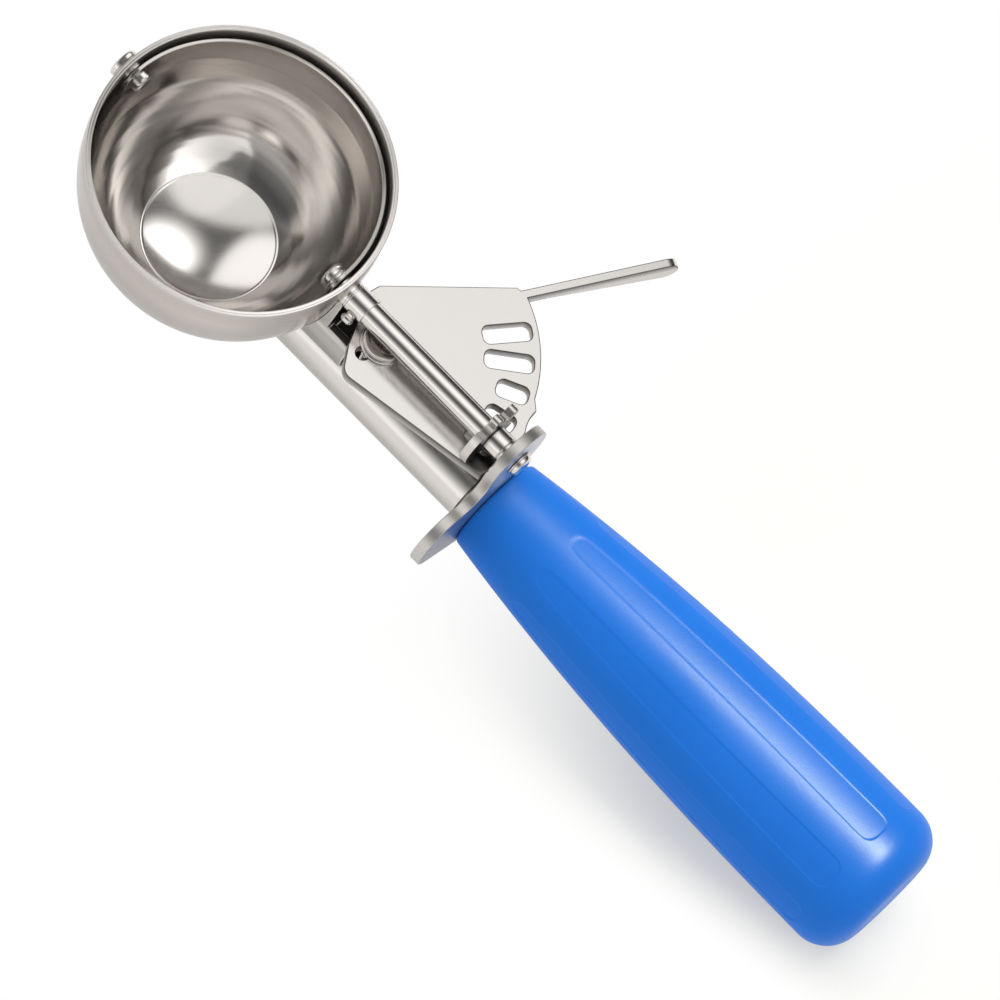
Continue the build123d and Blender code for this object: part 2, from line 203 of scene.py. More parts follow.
def makeRingGrain():
    g = ringLines
    inputs = {"Vector": "Vector", "Pitch": g["pitch"] * mm, "Drift": g["drift"]}
    tree, given, out = newGroup("ringGrain", "ShaderNodeTree", inputs, grainOutputs)
    x, y, z = splitVector(tree, given["Vector"])
    radius = vectorCalc(tree, "LENGTH", joinVector(tree, x, y))
    wander = addNoise(tree, given["Vector"], g["wanderScale"], g["wanderDetail"])
    drift = calc(tree, "MULTIPLY", wander, calc(tree, "MULTIPLY", given["Drift"], g["driftReach"] * mm))
    rings = joinVector(tree, calc(tree, "ADD", radius, drift), z, drift)
    scaled = scaleBy(tree, rings, calc(tree, "DIVIDE", 1.0, given["Pitch"]))
    fine = addNoise(tree, scaled, 1.0, g["fineDetail"])
    wide = addNoise(tree, scaled, g["wideScale"], g["wideDetail"])
    return endGrain(tree, out, fine, wide, g["wideShare"])


def makeSheetGrain():
    g = sheetLines
    inputs = {"Vector": "Vector", "Pitch": g["pitch"] * mm, "Length": g["length"]}
    tree, given, out = newGroup("sheetGrain", "ShaderNodeTree", inputs, grainOutputs)
    x, y, z = splitVector(tree, given["Vector"])
    drawn = joinVector(tree, calc(tree, "DIVIDE", x, given["Length"]), y, z)
    scaled = scaleBy(tree, drawn, calc(tree, "DIVIDE", 1.0, given["Pitch"]))
    fine = addNoise(tree, scaled, 1.0, g["fineDetail"])
    cloud = addNoise(tree, given["Vector"], g["cloudScale"], g["cloudDetail"])
    return endGrain(tree, out, fine, cloud, g["cloudShare"])


ringGrain = makeRingGrain()
sheetGrain = makeSheetGrain()


# Steels: tone and rough are each a value and how far it swings with the grain

shaftHeight = 29.1
neckHeight = 9.9
leverPlace = 39.5  # the lever's pivot, along +X
grainSpread = (0.3, 0.7)  # between these the grain's value mostly stays
# Wavy edge of the painted shade patches
paintedShadeEdge = {"scale": 420.0, "detail": 3.0, "wave": 0.5, "start": 0.8, "end": 1.5}
plainLook = {"grain": sheetGrain, "middle": (0, 0, 0), "turn": (0, 0, 0), "fade": None, "paintedShadeSpot": None,
             "satin": None, "anisotropy": None}
rolledLook = {"pitch": 0.35, "bump": 0.35, "depth": 0.003}
drawnLook = {"pitch": 0.3, "bump": 0.3, "depth": 0.003}
brushedLook = {"pitch": 0.25, "bump": 0.4, "depth": 0.004}
cutLook = {"pitch": 0.16, "bump": 0.5, "depth": 0.006}
spunLook = {"satin": (27.5, 31.5, 0.3), "grain": ringGrain, "pitch": 0.5, "bump": 0.15, "depth": 0.0015,
            "anisotropy": 0.3, "spinAxis": "Z"}


def swingTones(tree, pattern, look):
    (tone, toneSwing), (rough, roughSwing) = look["tone"], look["rough"]
    dark, light = (Vector(tone) * (1 + side * toneSwing) for side in (-1, 1))
    colour = blendColours(tree, pattern, dark, light)
    return colour, remap(tree, pattern, grainSpread, (rough - roughSwing, rough + roughSwing))


# Painted shade: darkens the colour towards a point where parts meet, with a wavy edge.
def paintShadeAround(tree, colour, place, paintedShadeSpot):
    centre, reach, weak = paintedShadeSpot
    offset = vectorCalc(tree, "SUBTRACT", place, Vector(centre) * mm)
    wavy = addNoise(tree, place, paintedShadeEdge["scale"], paintedShadeEdge["detail"])
    far = calc(tree, "MULTIPLY_ADD", wavy, paintedShadeEdge["wave"] * reach * mm, vectorCalc(tree, "LENGTH", offset))
    edges = (paintedShadeEdge["start"] * reach * mm, paintedShadeEdge["end"] * reach * mm)
    return scaleBy(tree, colour, remap(tree, far, edges, (weak, 1.0), "SMOOTHSTEP"))


def dress(tree, shader, colour, rough, height, strength, depth):
    bump = firstOut(tree, "ShaderNodeBump", {"Height": height, "Strength": strength, "Distance": depth * mm})
    for source, label in ((colour, "Base Color"), (rough, "Roughness"), (bump, "Normal")):
        tree.links.new(source, shader.inputs[label])


def steelFinish(name, given):
    look = {**plainLook, **given}
    material, tree, shader = newMaterial(name)
    place = addNode(tree, "ShaderNodeTexCoord").outputs["Object"]
    middle, turn = [side * mm for side in look["middle"]], [radians(angle) for angle in look["turn"]]
    mapped = firstOut(tree, "ShaderNodeMapping", {"Vector": place, "Location": middle, "Rotation": turn},
                      vector_type="POINT")
    grain = addNode(tree, "ShaderNodeGroup", node_tree=look["grain"])
    tree.links.new(mapped, grain.inputs["Vector"])
    grain.inputs["Pitch"].default_value = look["pitch"] * mm
    colour, rough = swingTones(tree, grain.outputs["Tone"], look)
    if look["fade"]:  # darker upwards, between two heights
        bottom, top, weak = look["fade"]
        level = remap(tree, splitVector(tree, place)[2], (bottom * mm, top * mm), (1.0, weak))
        colour = scaleBy(tree, colour, level)
    if look["paintedShadeSpot"]:  # painted shade, dark in a corner where parts meet
        colour = paintShadeAround(tree, colour, place, look["paintedShadeSpot"])
    if look["satin"]:  # rougher upwards
        bottom, top, more = look["satin"]
        extra = remap(tree, splitVector(tree, place)[2], (bottom * mm, top * mm), (0.0, more))
        rough = calc(tree, "ADD", rough, extra)
    if look["anisotropy"]:
        shader.inputs["Anisotropic"].default_value = look["anisotropy"]
        tangent = firstOut(tree, "ShaderNodeTangent", direction_type="RADIAL", axis=look["spinAxis"])
        tree.links.new(tangent, shader.inputs["Tangent"])
    shader.inputs["Metallic"].default_value = 1.0
    dress(tree, shader, colour, rough, grain.outputs["Height"], look["bump"], look["depth"])
    return material


bowlSteel = steelFinish("bowlSteel", {
    **spunLook, "tone": ((0.66, 0.63, 0.60), 0.09), "rough": (0.12, 0.015)})
bowlOuterSteel = steelFinish("bowlOuterSteel", {
    **spunLook, "tone": ((0.56, 0.52, 0.488), 0.07), "rough": (0.16, 0.02)})
bowlFloorSteel = steelFinish("bowlFloorSteel", {
    "tone": ((0.68, 0.65, 0.62), 0.05), "rough": (0.115, 0.025),
    "pitch": 0.22, "bump": 0.3, "depth": 0.0015, "turn": (0, 0, -38)})
bladeSteel = steelFinish("bladeSteel", {
    **rolledLook, "tone": ((0.52, 0.495, 0.47), 0.04), "rough": (0.2, 0.03)})
shaftSteel = steelFinish("shaftSteel", {
    **drawnLook, "tone": ((0.70, 0.67, 0.64), 0.03), "rough": (0.2, 0.03),
    "middle": (0, 0, -shaftHeight)})
# Painted shade: the tube darkens where it meets the collar and the guard.
tubeSteel = steelFinish("tubeSteel", {
    **rolledLook, "tone": ((0.68, 0.65, 0.62), 0.05), "rough": (0.24, 0.03),
    "middle": (0, 0, -neckHeight), "paintedShadeSpot": ((67, 1, 16.5), 3.6, 0.15)})
# Painted shade: the lever plate darkens under the pinion, by the guard.
plateSteel = steelFinish("plateSteel", {
    **drawnLook, "tone": ((0.70, 0.675, 0.65), 0.09), "rough": (0.22, 0.05),
    "turn": (0, 0, 30), "paintedShadeSpot": ((67, -2.5, 24.3), 3.6, 0.12)})
rivetSteel = steelFinish("rivetSteel", {
    "tone": ((0.62, 0.595, 0.57), 0.06), "rough": (0.15, 0.03),
    "grain": ringGrain, "pitch": 0.35, "bump": 0.1, "depth": 0.001, "middle": (-leverPlace, 0, 0)})
cutSteel = steelFinish("cutSteel", {
    **cutLook, "tone": ((0.60, 0.57, 0.54), 0.12), "rough": (0.34, 0.05),
    "turn": (0, 90, 0), "fade": (22.1, 24.1, 0.26)})
edgeSteel = steelFinish("edgeSteel", {
    **cutLook, "tone": ((0.60, 0.575, 0.55), 0.14), "rough": (0.27, 0.05), "pitch": 0.2})
# Painted reflection: the pinion's faces are dark to stand in for the dark surroundings they mirror.
paintedReflectionFaceSteel = steelFinish("paintedReflectionFaceSteel", {
    "tone": ((0.12, 0.11, 0.10), 0.25), "rough": (0.3, 0.06),
    "pitch": 0.3, "bump": 0.5, "depth": 0.01, "turn": (0, 0, 90)})
guardEdgeSteel = steelFinish("guardEdgeSteel", {
    **cutLook, "tone": ((0.56, 0.535, 0.51), 0.14), "rough": (0.42, 0.06),
    "turn": (0, 90, 0)})
# Painted shade: a darker copy of the rolled tube steel, standing in for the shade on the saddle.
paintedShadeSaddleSteel = steelFinish("paintedShadeSaddleSteel", {
    **rolledLook, "tone": ((0.42, 0.40, 0.375), 0.08), "rough": (0.22, 0.04)})
# Painted shade: dark to stand in for the shade between the tube and the guard.
paintedShadeCollarSteel = steelFinish("paintedShadeCollarSteel", {
    "tone": ((0.30, 0.28, 0.265), 0.12), "rough": (0.32, 0.05),
    "pitch": 0.2, "bump": 0.4, "depth": 0.005, "turn": (0, 0, 90)})
guardSteel = steelFinish("guardSteel", {
    **brushedLook, "tone": ((0.56, 0.54, 0.52), 0.05), "rough": (0.36, 0.04),
    "turn": (0, 0, 90)})
# Painted reflection: the lever's eased edges are dark to stand in for the dark they mirror.
paintedReflectionLineSteel = steelFinish("paintedReflectionLineSteel", {
    **brushedLook, "tone": ((0.17, 0.16, 0.15), 0.2), "rough": (0.3, 0.05)})
# Painted shade: near black to stand in for the shade inside the saddle's pocket.
paintedShadePocketSteel = steelFinish("paintedShadePocketSteel", {
    "tone": ((0.045, 0.04, 0.035), 0.2), "rough": (0.5, 0.08),
    "pitch": 0.4, "bump": 0.4, "depth": 0.01})

plasticLook = {"tone": ((0.016, 0.178, 0.70), 0.05), "rough": (0.35, 0.03),
               "shine": 0.05, "cloudScale": 45.0, "cloudDetail": 3.0,
               "peelScale": 4400.0, "peelDetail": 1.0, "peelStrength": 0.6, "peelDepth": 0.055}


def makeHandlePlastic():
    look = plasticLook
    material, tree, shader = newMaterial("handlePlastic")
    place = addNode(tree, "ShaderNodeTexCoord").outputs["Object"]
    colour, rough = swingTones(tree, addNoise(tree, place, look["cloudScale"], look["cloudDetail"]), look)
    peel = addNoise(tree, place, look["peelScale"], look["peelDetail"])
    shader.inputs["Specular IOR Level"].default_value = look["shine"]
    dress(tree, shader, colour, rough, peel, look["peelStrength"], look["peelDepth"])
    return material


handlePlastic = makeHandlePlastic()
print("finishes mixed")


# Turned pieces: an outline of (radius, height) corners goes round on the lathe.
# A corner's third number rounds it, and a point on each side holds the flats.

def roundedOutline(corners, steps=5, hold=0.12):
    points = []
    last = len(corners) - 1
    for index, corner in enumerate(corners):
        here = Vector(corner[:2])
        rounding = corner[2] if len(corner) > 2 else 0
        if not rounding or index in (0, last):
            points.append(here)
            continue
        back, ahead = Vector(corners[index - 1][:2]) - here, Vector(corners[index + 1][:2]) - here
        toBack, toAhead = back.normalized(), ahead.normalized()
        half = back.angle(ahead) / 2
        reach = rounding / abs(sin(half)) * cos(half)
        middle = here + (toBack + toAhead).normalized() * rounding / sin(half)
        start, end = here + toBack * reach, here + toAhead * reach
        if back.length - reach > 2 * hold:
            points.append(start + toBack * hold)
        first, turn = start - middle, (start - middle).angle_signed(end - middle)
        for step in range(steps + 1):
            angle = -turn * step / steps
            points.append(middle + Vector((first.x * cos(angle) - first.y * sin(angle),
                                           first.x * sin(angle) + first.y * cos(angle))))
        if ahead.length - reach > 2 * hold:
            points.append(end + toAhead * hold)
    return points


def ring(corners):
    return roundedOutline(corners + [corners[0]])


def groove(radius, place, half, depth, shoulder=0.06, bottom=0.05):
    before, after = (radius, place - half, shoulder), (radius, place + half, shoulder)
    return [before, (radius - depth, place, bottom), after]


def arcPoints(middle, radius, start, end, steps):
    angles = [radians(start + (end - start) * i / steps) for i in range(steps + 1)]
    return [Vector((middle[0] + radius * cos(angle), middle[1] + radius * sin(angle))) for angle in angles]


def unroll(tree, outline, columns):  # a grid with one row for each point of the outline
    op = partial(calc, tree)
    count = firstOut(tree, "GeometryNodeAttributeDomainSize", {0: outline}, component="MESH")
    sizes = {"Vertices X": op("ADD", columns, 1), "Vertices Y": count}
    grid = firstOut(tree, "GeometryNodeMeshGrid", sizes)
    index = firstOut(tree, "GeometryNodeInputIndex")
    column = op("FLOOR", op("DIVIDE", index, count))
    row = op("SUBTRACT", index, op("MULTIPLY", column, count))
    place = firstOut(tree, "GeometryNodeInputPosition")
    point = firstOut(tree, "GeometryNodeSampleIndex", {"Geometry": outline, "Value": place, "Index": row},
                     data_type="FLOAT_VECTOR", domain="POINT", clamp=True)
    return grid, op("MULTIPLY", op("DIVIDE", column, columns), tau), splitVector(tree, point)


def rollUp(tree, grid, place):
    rolled = firstOut(tree, "GeometryNodeSetPosition", {"Geometry": grid, "Position": place})
    return firstOut(tree, "GeometryNodeMergeByDistance", {"Geometry": rolled, "Distance": mergeWithin})


def endTree(tree, geometry, finish, out):
    smooth = firstOut(tree, "GeometryNodeSetShadeSmooth", {"Geometry": geometry})
    real = firstOut(tree, "GeometryNodeRealizeInstances", {"Geometry": smooth})
    tree.links.new(firstOut(tree, "GeometryNodeSetMaterial", {"Geometry": real, "Material": finish}), out[0])
    return tree


def makeLathe():
    inputs = {"Outline": "Geometry", "Material": "Material", "Segments": 96}
    tree, given, out = newGroup("lathe", "GeometryNodeTree", inputs, {"Geometry": "Geometry"})
    grid, angle, point = unroll(tree, given["Outline"], given["Segments"])
    x, y = (calc(tree, "MULTIPLY", point[0], calc(tree, turn, angle)) for turn in ("COSINE", "SINE"))
    return endTree(tree, rollUp(tree, grid, joinVector(tree, x, y, point[2])), given["Material"], out)


lathe = makeLathe()
alongX = Matrix.Rotation(radians(90), 4, "Y")  # turns the lathe's axis to +X


def turnPiece(name, outline, steel, segments, place=(0, 0, 0), axis=None):
    mesh = newMesh(name, [(x * mm, 0, z * mm) for x, z in outline])
    piece = growWith(addObject(name, mesh), lathe, steel, {"Segments": segments})
    piece.data.name = name
    move = Matrix.Translation(Vector(place) * mm)
    piece.data.transform(move @ axis if axis else move)
    faceOutward(piece.data)
    return piece


# Bowl: a ball with a straight rim, a flat foot, a rolled lip and a flatter floor inside

bowlShape = {"radius": 29.0, "wall": 1.1, "ballHeight": 27.9, "rimHeight": 33.3, "footRadius": 5.0,
             "footInner": 0.9, "footSwell": 0.22, "lip": 0.26, "lipGroove": 0.14, "lipGrooveHalf": 0.12,
             "lipShoulder": 0.01, "floorRadius": 13.0, "bead": 0.03, "beadHalf": 0.25,
             "facing": 0.5,  # faces that look up more than this are the floor's
             "ridges": [(2.3, 0.0022, 0.0), (4.1, 0.006, 1.3), (1.3, 0.0008, 0.6)],  # pitch, height, shift
             "ridgeFade": 4.0, "ridgeSink": 0.01}
bowlSteps = {"round": 192, "foot": 8, "outside": 40, "rim": 4, "lip": 6, "straight": 24, "inside": 200,
             "floor": 90}
bowlInner = bowlShape["radius"] - bowlShape["wall"]
bowlFloorEdge = bowlShape["ballHeight"] - sqrt(bowlInner**2 - bowlShape["floorRadius"]**2)


def bowlOutside():
    b, n = bowlShape, bowlSteps
    ball, foot = b["ballHeight"], b["footRadius"]
    edge = b["floorRadius"] * b["radius"] / bowlInner
    rise = ball - sqrt(b["radius"]**2 - edge**2)
    chord = Vector((edge - foot, rise))
    swell = (chord.length**2 / 4 + b["footSwell"]**2) / (2 * b["footSwell"])
    upward = Vector((-chord.y, chord.x)).normalized()
    middle = Vector((foot, 0)) + chord / 2 + upward * (swell - b["footSwell"])
    start = degrees(atan2(-middle.y, foot - middle.x))
    end = degrees(atan2(rise - middle.y, edge - middle.x))
    outline = [Vector((0, 0)), Vector((foot * b["footInner"], 0))]
    outline += arcPoints(middle, swell, start, end, n["foot"])
    outline += arcPoints((0, ball), b["radius"], -degrees(atan2(ball - rise, edge)), 0, n["outside"])[1:]
    rim = b["rimHeight"] - ball
    return outline + [Vector((b["radius"], ball + rim * i / n["rim"])) for i in range(1, n["rim"])]


def bowlLip():
    b, n = bowlShape, bowlSteps
    lip, top, half = b["lip"], b["rimHeight"], b["lipGrooveHalf"]
    middle, shoulder = b["radius"] - b["wall"] / 2, top - b["lipShoulder"]
    outline = arcPoints((b["radius"] - lip, top - lip), lip, 0, 90, n["lip"])
    outline += [Vector((middle + half, shoulder)), Vector((middle, top - b["lipGroove"])),
                Vector((middle - half, shoulder))]
    return outline + arcPoints((bowlInner + lip, top - lip), lip, 90, 180, n["lip"])


def bowlInside():
    b, n = bowlShape, bowlSteps
    ball, top = b["ballHeight"], b["rimHeight"] - b["lip"]
    below = degrees(atan2(ball - bowlFloorEdge, b["floorRadius"]))
    wall = [Vector((bowlInner, top - (top - ball) * i / n["straight"])) for i in range(1, n["straight"])]
    wall += arcPoints((0, ball), bowlInner, 0, -below, n["inside"])
    length = sum((wall[i + 1] - wall[i]).length for i in range(len(wall) - 1))
    outline, walked = [], 0.0
    for i, point in enumerate(wall):
        walked += (point - wall[i - 1]).length if i else 0.0
        fade = min(1.0, walked / b["ridgeFade"], (length - walked) / b["ridgeFade"])
        ridge = sum(height * sin(tau * walked / pitch + shift) for pitch, height, shift in b["ridges"]) * fade
        outward = Vector((1, 0)) if point.y > ball else (point - Vector((0, ball))).normalized()
        outline.append(point + outward * (ridge - b["ridgeSink"] * fade))
    return outline


def bowlFloor():
    b = bowlShape
    rise = bowlFloorEdge - b["wall"]
    radius = (b["floorRadius"]**2 + rise**2) / (2 * rise)
    lean = degrees(atan2(b["floorRadius"], radius - rise))
    outline = []
    for point in arcPoints((0, b["wall"] + radius), radius, -90 + lean, -90, bowlSteps["floor"])[1:]:
        near = (b["floorRadius"] - b["beadHalf"] - point.x) / b["beadHalf"]
        outline.append(point + Vector((0, b["bead"] * max(0.0, 1 - near**2)**2)))
    outline[-1].x = 0
    return outline


def makeBowl():
    b = bowlShape
    outline = bowlOutside() + bowlLip() + bowlInside() + bowlFloor()
    piece = turnPiece("spunBowl", outline, bowlSteel, bowlSteps["round"])
    piece.data.materials.append(bowlFloorSteel)
    piece.data.materials.append(bowlOuterSteel)
    ballMiddle = Vector((0, 0, b["ballHeight"] * mm))
    for face in piece.data.polygons:
        faceOut = face.normal.dot(face.center - ballMiddle) > 0
        if face.normal.z > b["facing"] and face.center.xy.length < (b["floorRadius"] - b["beadHalf"]) * mm:
            face.material_index = 1
        elif faceOut and face.center.z < (b["rimHeight"] - b["lip"]) * mm:
            face.material_index = 2
    seat(piece, "bowl")


makeBowl()
print("bowl turned")


# Handle: a turned grip with long flutes pressed into it

handleShape = {"front": 72.7, "length": 102.3, "height": neckHeight, "frontRounding": 0.9,
               "buttRounding": 7.3, "frontSlope": 0.15, "rearSlope": 0.0,
               "knots": [(0, 9.7), (17.4, 11.93), (38.9, 13.9), (95.0, 15.65)],  # along, radius
               "endRings": (4, 8), "frontHold": 0.1, "buttHold": 0.4, "frontArc": (0, 22, 45, 68, 90),
               "buttSteps": 18, "firstRow": 0.3, "rowStep": 1.2, "columns": 480,
               "frontRows": (-1.5, 2.7, 0.3), "rearRows": (1.7, 2.2, 0.16)}  # shift, half length, step
fluteShape = {"count": 8, "depth": 0.09, "sag": 0.1, "front": 18.3, "rear": 90.2, "frontRadius": 2.1,
              "rearRadius": 3.2, "turn": 86.0, "frontSoftness": 1.1, "rearSoftness": 0.36, "gather": 0.7,
              "edgeShares": (-0.35, 0.65)}  # how the softness lies on both sides of the edge


def swellCurve(knots, startSlope, endSlope, rounds=60):
    count = len(knots)
    slopes = [0.0] * count
    slopes[0], slopes[-1] = startSlope, endSlope
    for _ in range(rounds):  # relaxes to the smooth curve through the knots
        for i in range(1, count - 1):
            left, right = knots[i][0] - knots[i - 1][0], knots[i + 1][0] - knots[i][0]
            leftRise = (knots[i][1] - knots[i - 1][1]) / left
            rightRise = (knots[i + 1][1] - knots[i][1]) / right
            bend = 3 * (leftRise / left + rightRise / right)
            slopes[i] = (bend - slopes[i - 1] / left - slopes[i + 1] / right) / (2 / left + 2 / right)

    def height(x):
        i = next((i for i in range(count - 2) if x <= knots[i + 1][0]), count - 2)
        span = knots[i + 1][0] - knots[i][0]
        t = (x - knots[i][0]) / span
        return ((2 * t**3 - 3 * t**2 + 1) * knots[i][1] + (t**3 - 2 * t**2 + t) * span * slopes[i]
                + (3 * t**2 - 2 * t**3) * knots[i + 1][1] + (t**3 - t**2) * span * slopes[i + 1])
    return height


def makeFluting(sizes):
    inputs = {"Outline": "Geometry", "Material": "Material", **sizes}
    tree, given, out = newGroup("flutedHandle", "GeometryNodeTree", inputs, {"Geometry": "Geometry"})
    op = partial(calc, tree)
    grid, even, (along, _, radius) = unroll(tree, given["Outline"], given["Columns"])

    def fromFront(label):  # how far the rear value is from the front one, and the front one
        front, rear = given["Front " + label], given["Rear " + label]
        return op("SUBTRACT", rear, front), front

    pairs = op("MULTIPLY", given["Flutes"], 2)  # columns gather at the flutes' edges
    wave = op("SINE", op("MULTIPLY", op("SUBTRACT", even, given["Turn"]), pairs))
    angle = op("MULTIPLY_ADD", wave, op("DIVIDE", given["Gather"], pairs), even)
    halves = [op("DIVIDE", tau / 2 * side, given["Flutes"]) for side in (1, -1)]
    beside = op("MULTIPLY", op("WRAP", op("SUBTRACT", angle, given["Turn"]), *halves), radius)
    length, front = fromFront("end")
    share = op("DIVIDE", op("SUBTRACT", along, front), length, clamp=True)
    apart = op("SUBTRACT", along, op("MULTIPLY_ADD", share, length, front))
    corner = op("ADD", share, 2.0)  # round at the front, squarer at the rear
    sides = [op("POWER", op("ABSOLUTE", side), corner) for side in (apart, beside)]
    away = op("POWER", op("ADD", *sides), op("DIVIDE", 1.0, corner))
    width = op("MULTIPLY_ADD", op("SQRT", share), *fromFront("radius"))
    soft = op("MULTIPLY_ADD", share, *fromFront("softness"))
    edges = [op("MULTIPLY", soft, side) for side in fluteShape["edgeShares"]]
    pressed = remap(tree, op("SUBTRACT", width, away), edges, (0.0, 1.0), "SMOOTHSTEP")
    across = op("DIVIDE", beside, width)
    flatness = op("SUBTRACT", 1.0, op("MULTIPLY", across, across), clamp=True)
    deep = op("MULTIPLY_ADD", flatness, given["Sag"], given["Depth"])
    finalRadius = op("SUBTRACT", radius, op("MULTIPLY", pressed, deep))
    y, z = (op("MULTIPLY", finalRadius, op(turn, angle)) for turn in ("COSINE", "SINE"))
    return endTree(tree, rollUp(tree, grid, joinVector(tree, along, y, z)), given["Material"], out)


def handleRows(rear):  # closer together at both ends of the flutes
    h = handleShape
    rows, x = [], h["frontRounding"] + h["firstRow"]
    closer = [(fluteShape["front"], *h["frontRows"]), (fluteShape["rear"], *h["rearRows"])]
    while x < rear:
        rows.append(x)
        steps = [step for place, shift, half, step in closer if abs(x - place - shift) < half]
        x += steps[0] if steps else h["rowStep"]
    return rows


def makeHandle():
    h, f = handleShape, fluteShape
    height = swellCurve(h["knots"], h["frontSlope"], h["rearSlope"])
    rounding, buttRounding = h["frontRounding"], h["buttRounding"]
    firstRadius, lastRadius = h["knots"][0][1], h["knots"][-1][1]
    rear, face = h["length"] - buttRounding, lastRadius - buttRounding
    outline = [(0, radius) for radius in (0, *h["endRings"], firstRadius - rounding - h["frontHold"])]
    outline += [(rounding * (1 - cos(radians(a))), height(rounding) - rounding * (1 - sin(radians(a))))
                for a in h["frontArc"]]
    outline += [(x, height(x)) for x in handleRows(rear)]
    outline += [tuple(p) for p in arcPoints((rear, face), buttRounding, 90, 0, h["buttSteps"])]
    outline += [(h["length"], radius) for radius in (face - h["buttHold"], h["endRings"][0], 0)]
    mesh = newMesh("grip", [(x * mm, 0, r * mm) for x, r in outline])
    sizes = {"Columns": h["columns"], "Flutes": f["count"], "Gather": f["gather"], "Turn": radians(f["turn"]),
             "Depth": f["depth"] * mm, "Sag": f["sag"] * mm,
             "Front end": f["front"] * mm, "Rear end": f["rear"] * mm,
             "Front radius": f["frontRadius"] * mm, "Rear radius": f["rearRadius"] * mm,
             "Front softness": f["frontSoftness"] * mm, "Rear softness": f["rearSoftness"] * mm}
    piece = growWith(addObject("flutedGrip", mesh), makeFluting(sizes), handlePlastic, sizes)
    piece.data.transform(Matrix.Translation(Vector((h["front"], 0, h["height"])) * mm))
    faceOutward(piece.data)
    seat(piece, "handle")


makeHandle()
print("handle fluted")


# Small turned pieces along the shaft

shaftLine = {"tenonStart": 24.63, "shoulder": 27.23, "radius": 2.4, "tenonRadius": 1.6, "pinionFront": 64.45,
             "pinionRear": 66.15, "journalRadius": 1.9, "guardFront": 70.5, "end": 73.12, "frontEdge": 0.2,
             "rearEdge": 0.3, "segments": 96}


def turnOnShaft(name, node, outline):
    piece = turnPiece(name, outline, shaftSteel, shaftLine["segments"], (0, 0, shaftHeight), alongX)
    seat(piece, node)


def makeShaft():
    a = shaftLine
    turnOnShaft("driveShaft", "scraper_shaft", roundedOutline([
        (0, a["tenonStart"]), (a["tenonRadius"], a["tenonStart"]), (a["tenonRadius"], a["shoulder"]),
        (a["radius"], a["shoulder"], a["frontEdge"]), (a["radius"], a["pinionFront"], a["rearEdge"]),
        (a["journalRadius"], a["pinionFront"]), (a["journalRadius"], a["end"]), (0, a["end"])]))


bushShape = {"start": 28.35, "end": 34.4, "radius": 2.75, "bore": 2.46, "edge": 0.12, "grooves": (29.9, 30.3),
             "grooveDepth": 0.07, "grooveHalf": 0.18}


def makeBush():
    b = bushShape
    corners = [(b["bore"], b["start"]), (b["radius"], b["start"])]
    for middle in b["grooves"]:
        corners += groove(b["radius"], middle, b["grooveHalf"], b["grooveDepth"])
    corners += [(b["radius"], b["end"], b["edge"]), (b["bore"], b["end"])]
    turnOnShaft("groovedBush", "shaft_bush", ring(corners))


hubShape = {"front": 23.66, "rear": 26.26, "radius": 2.7, "crown": 1.2, "groove": 25.55, "grooveDepth": 0.16,
            "grooveHalf": 0.22}


def makeHub():
    h = hubShape
    turnOnShaft("bladeHub", "blade_hub", roundedOutline([
        (0, h["front"]), (h["radius"], h["front"], h["crown"]),
        *groove(h["radius"], h["groove"], h["grooveHalf"], h["grooveDepth"]),
        (h["radius"], h["rear"]), (0, h["rear"])]))


screwShape = {"place": 32.3, "angle": 200.0, "bottom": 2.5, "neckRadius": 1.0, "headStart": 3.35,
              "radius": 1.25, "reach": 4.6, "crown": 0.8, "neckEdge": 0.1, "headEdge": 0.2, "segments": 64}


def makeScrew():
    c = screwShape
    outline = roundedOutline([
        (0, c["bottom"]), (c["neckRadius"], c["bottom"]), (c["neckRadius"], c["headStart"], c["neckEdge"]),
        (c["radius"], c["headStart"], c["headEdge"]), (c["radius"], c["reach"], c["crown"]), (0, c["reach"])])
    lean = Matrix.Rotation(radians(c["angle"] - 90), 4, "X")
    piece = turnPiece("bushScrew", outline, shaftSteel, c["segments"], (c["place"], 0, shaftHeight), lean)
    seat(piece, "bush_screw")


spacerShape = {"radius": 2.65, "gap": 0.12, "edge": 0.2, "groove": 69.5, "grooveDepth": 0.22,
               "grooveHalf": 0.2}
endWasherShape = {"radius": 2.7, "front": 72.82, "rear": 73.12, "edge": 0.1}
endDomeShape = {"radius": 2.4, "height": 1.1, "crown": 0.95}


def makeRearStack():
    a, s, w, d = shaftLine, spacerShape, endWasherShape, endDomeShape
    spacerEnd = a["guardFront"] - s["gap"]
    turnOnShaft("spacerSleeve", "shaft_spacer", ring([
        (a["journalRadius"], a["pinionRear"]), (s["radius"], a["pinionRear"], s["edge"]),
        *groove(s["radius"], s["groove"], s["grooveHalf"], s["grooveDepth"]),
        (s["radius"], spacerEnd, s["edge"]), (a["journalRadius"], spacerEnd)]))
    turnOnShaft("endWasher", "shaft_end_washer", ring([
        (a["journalRadius"], w["front"]), (w["radius"], w["front"], w["edge"]),
        (w["radius"], w["rear"], w["edge"]), (a["journalRadius"], w["rear"])]))
    top = w["rear"] + d["height"]
    turnOnShaft("endDome", "shaft_end_rivet", roundedOutline([
        (0, w["rear"]), (d["radius"], w["rear"]), (d["radius"], top, d["crown"]), (0, top)]))


frontPivot = {"headRadius": 2.95, "headStart": -30.7, "headEnd": -28.7, "headCrown": 0.6, "groove": -29.35,
              "grooveDepth": 0.16, "grooveHalf": 0.2, "pinRadius": 1.5, "pinEnd": -25.25, "spacerRadius": 2.3,
              "spacerStart": -27.98, "spacerEnd": -27.32, "spacerEdge": 0.15, "fineEdge": 0.1,
              "buttonRadius": 2.1, "buttonStart": -26.2, "buttonEnd": -24.3, "buttonEdge": 0.12,
              "buttonCrown": 0.8}


